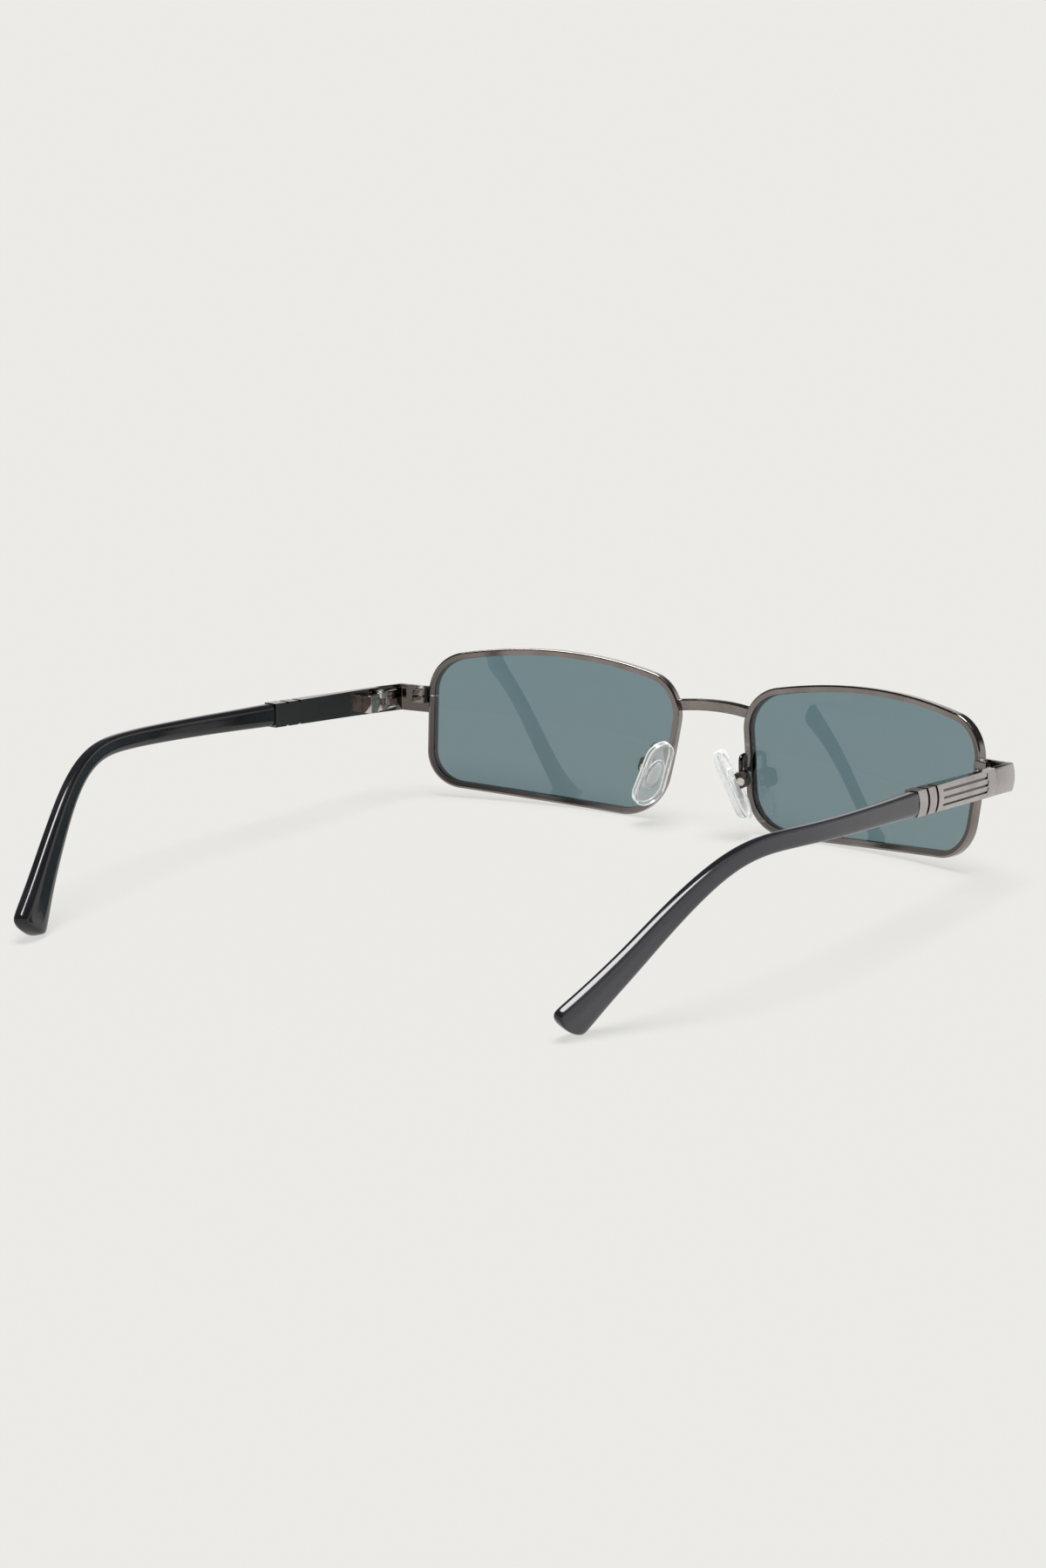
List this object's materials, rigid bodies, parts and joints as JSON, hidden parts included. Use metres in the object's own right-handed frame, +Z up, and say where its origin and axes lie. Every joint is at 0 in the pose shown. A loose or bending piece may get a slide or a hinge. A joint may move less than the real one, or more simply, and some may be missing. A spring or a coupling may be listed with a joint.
{
  "type": "sunglasses",
  "caption": "Narrow rectangle sunglasses with a metal frame, tinted curved lenses, adjustable nose pads and temples that fold on screw hinges.",
  "frame": {"origin": "centre of the bounding box in X and Y, on the table in Z", "axes": "+X is the wearer's left, -Y is the way the lenses face, +Y runs back along the temples, +Z is up; the glasses stand open on the rims' lower edges and the ends of the temple tips"},
  "size_m": [0.1466, 0.151, 0.0315],
  "materials": {
    "frame_metal": "polished warm gunmetal plating",
    "shield_metal": "satin gunmetal plating",
    "hinge_metal": "plated nickel silver",
    "wire_metal": "polished gunmetal plating",
    "screw_metal": "bright steel",
    "lens_tint": "smooth grey-green tint",
    "tip_plastic": "polished black",
    "pad_silicone": "clear",
    "insert_plastic": "clear, harder than the pad"
  },
  "bodies": {
    "front": {"bridge": "frame_metal", "rim_left": "frame_metal", "rim_right": "frame_metal", "lens_left": "lens_tint", "lens_right": "lens_tint", "end_piece_left": "shield_metal", "end_piece_right": "shield_metal", "rim_lock_upper_left": "frame_metal", "rim_lock_upper_right": "frame_metal", "rim_lock_lower_left": "frame_metal", "rim_lock_lower_right": "frame_metal", "lock_screw_left": "screw_metal", "lock_screw_right": "screw_metal", "hinge_front_left": "hinge_metal", "hinge_front_right": "hinge_metal", "hinge_screw_left": "screw_metal", "hinge_screw_right": "screw_metal", "pad_arm_left": "wire_metal", "pad_arm_right": "wire_metal", "pad_box_left": "wire_metal", "pad_box_right": "wire_metal", "pad_screw_left": "screw_metal", "pad_screw_right": "screw_metal"},
    "temple_left": {"temple_shield_left": "shield_metal", "hinge_temple_left": "hinge_metal", "core_wire_left": "hinge_metal", "temple_tip_left": "tip_plastic"},
    "temple_right": {"temple_shield_right": "shield_metal", "hinge_temple_right": "hinge_metal", "core_wire_right": "hinge_metal", "temple_tip_right": "tip_plastic"},
    "nose_pad_left": {"nose_pad_left": "pad_silicone", "pad_insert_left": "insert_plastic"},
    "nose_pad_right": {"nose_pad_right": "pad_silicone", "pad_insert_right": "insert_plastic"}
  },
  "joints": [
    {"name": "temple_hinge_left", "type": "hinge", "parent": "front", "child": "temple_left", "pos_m": [0.06785, -0.05432, 0.02046], "axis": [0, 0, 1], "range_deg": [0, 85]},
    {"name": "temple_hinge_right", "type": "hinge", "parent": "front", "child": "temple_right", "pos_m": [-0.06785, -0.05432, 0.02046], "axis": [0, 0, -1], "range_deg": [0, 77]},
    {"name": "pad_rock_left", "type": "hinge", "parent": "front", "child": "nose_pad_left", "pos_m": [0.01075, -0.06562, 0.01155], "axis": [0.3131, 0.9494, -0.024], "range_deg": [-10, 10]},
    {"name": "pad_rock_right", "type": "hinge", "parent": "front", "child": "nose_pad_right", "pos_m": [-0.01075, -0.06562, 0.01155], "axis": [0.3131, -0.9494, 0.024], "range_deg": [-10, 10]}
  ]
}
